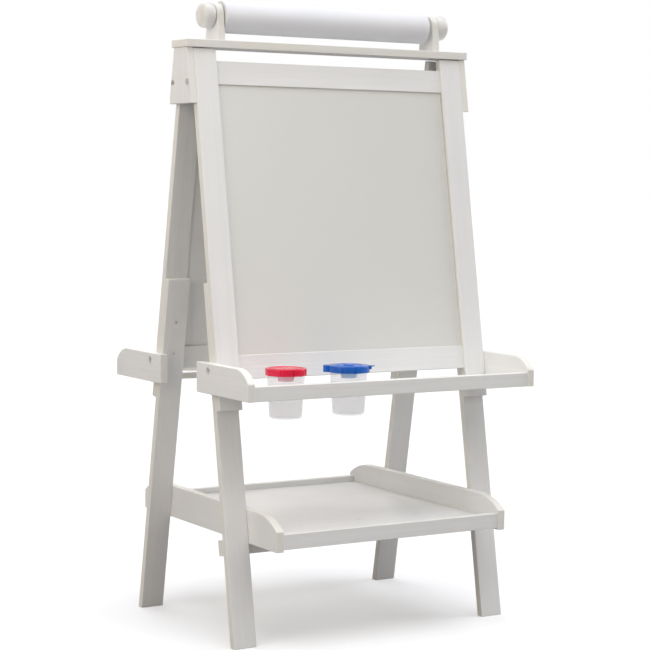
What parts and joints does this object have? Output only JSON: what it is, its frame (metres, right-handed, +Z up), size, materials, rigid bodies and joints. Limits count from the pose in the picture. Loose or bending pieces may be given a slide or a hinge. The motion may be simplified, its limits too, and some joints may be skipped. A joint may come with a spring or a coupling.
{
  "type": "kids easel",
  "caption": "Double-sided A-frame children's easel in white painted wood, with a paper roll on top, a paint-pot tray each side and a low shelf.",
  "frame": {"origin": "on the floor, under the middle of the easel", "axes": "+Z up, -Y is the whiteboard's side, +X along the roll towards the pull-off knob"},
  "size_m": [0.636, 0.554, 1.197],
  "materials": {
    "painted_wood": "satin",
    "painted_knob": "satin",
    "bare_wood": "matte",
    "whiteboard_face": "gloss",
    "chalkboard_face": "matte",
    "zinc_steel": "satin",
    "brass_insert": "satin",
    "drawing_paper": "matte",
    "card_core": "matte",
    "pot_plastic": "satin",
    "red_plastic": "gloss",
    "blue_plastic": "gloss"
  },
  "bodies": {
    "easel": {"front_left_stile": "painted_wood", "front_right_stile": "painted_wood", "rear_left_stile": "painted_wood", "rear_right_stile": "painted_wood", "front_left_leg": "painted_wood", "front_right_leg": "painted_wood", "rear_left_leg": "painted_wood", "rear_right_leg": "painted_wood", "front_top_rail": "painted_wood", "front_bottom_rail": "painted_wood", "rear_top_rail": "painted_wood", "rear_bottom_rail": "painted_wood", "whiteboard": "whiteboard_face", "chalkboard": "chalkboard_face", "left_side_plate": "painted_wood", "right_side_plate": "painted_wood", "top_board": "painted_wood", "left_roll_bracket": "painted_wood", "right_roll_bracket": "painted_wood", "front_tray_left_end": "painted_wood", "front_tray_right_end": "painted_wood", "front_tray_rail": "painted_wood", "front_tray_base": "painted_wood", "rear_tray_left_end": "painted_wood", "rear_tray_right_end": "painted_wood", "rear_tray_rail": "painted_wood", "rear_tray_base": "painted_wood", "left_shelf_side": "painted_wood", "right_shelf_side": "painted_wood", "front_shelf_rail": "painted_wood", "rear_shelf_rail": "painted_wood", "shelf_base": "painted_wood", "front_shelf_batten": "painted_wood", "rear_shelf_batten": "painted_wood", "side_plate_bolts": "zinc_steel", "tray_bolts": "zinc_steel", "threaded_inserts": "brass_insert", "leg_lap_screws": "zinc_steel", "shelf_side_screws": "zinc_steel", "shelf_base_screws": "zinc_steel", "batten_screws": "zinc_steel", "top_board_screws": "zinc_steel", "bracket_screws": "zinc_steel", "tray_dowels": "bare_wood", "shelf_dowels": "bare_wood"},
    "spindle": {"dowel_rod": "bare_wood", "left_knob": "painted_knob"},
    "end_knob": {"right_knob": "painted_knob"},
    "paper": {"paper_roll": "drawing_paper", "roll_core": "card_core"},
    "red_cup": {"red_pot": "pot_plastic", "red_pot_funnel": "red_plastic"},
    "red_lid": {"red_pot_lid": "red_plastic"},
    "blue_cup": {"blue_pot": "pot_plastic", "blue_pot_funnel": "blue_plastic"},
    "blue_lid": {"blue_pot_lid": "blue_plastic"}
  },
  "joints": [
    {"name": "dowel_turn", "type": "hinge", "parent": "easel", "child": "spindle", "pos_m": [0, 0, 1.169], "axis": [1, 0, 0], "continuous": true},
    {"name": "paper_turn", "type": "hinge", "parent": "easel", "child": "paper", "pos_m": [0, 0, 1.166], "axis": [1, 0, 0], "continuous": true},
    {"name": "knob_pull_off", "type": "slide", "parent": "spindle", "child": "end_knob", "axis": [1, 0, 0], "range_m": [0, 0.03]},
    {"name": "red_pot_lift", "type": "slide", "parent": "easel", "child": "red_cup", "axis": [0, 0, 1], "range_m": [0, 0.1]},
    {"name": "red_lid_lift", "type": "slide", "parent": "red_cup", "child": "red_lid", "axis": [0, 0, 1], "range_m": [0, 0.06]},
    {"name": "blue_pot_lift", "type": "slide", "parent": "easel", "child": "blue_cup", "axis": [0, 0, 1], "range_m": [0, 0.1]},
    {"name": "blue_lid_lift", "type": "slide", "parent": "blue_cup", "child": "blue_lid", "axis": [0, 0, 1], "range_m": [0, 0.06]}
  ]
}
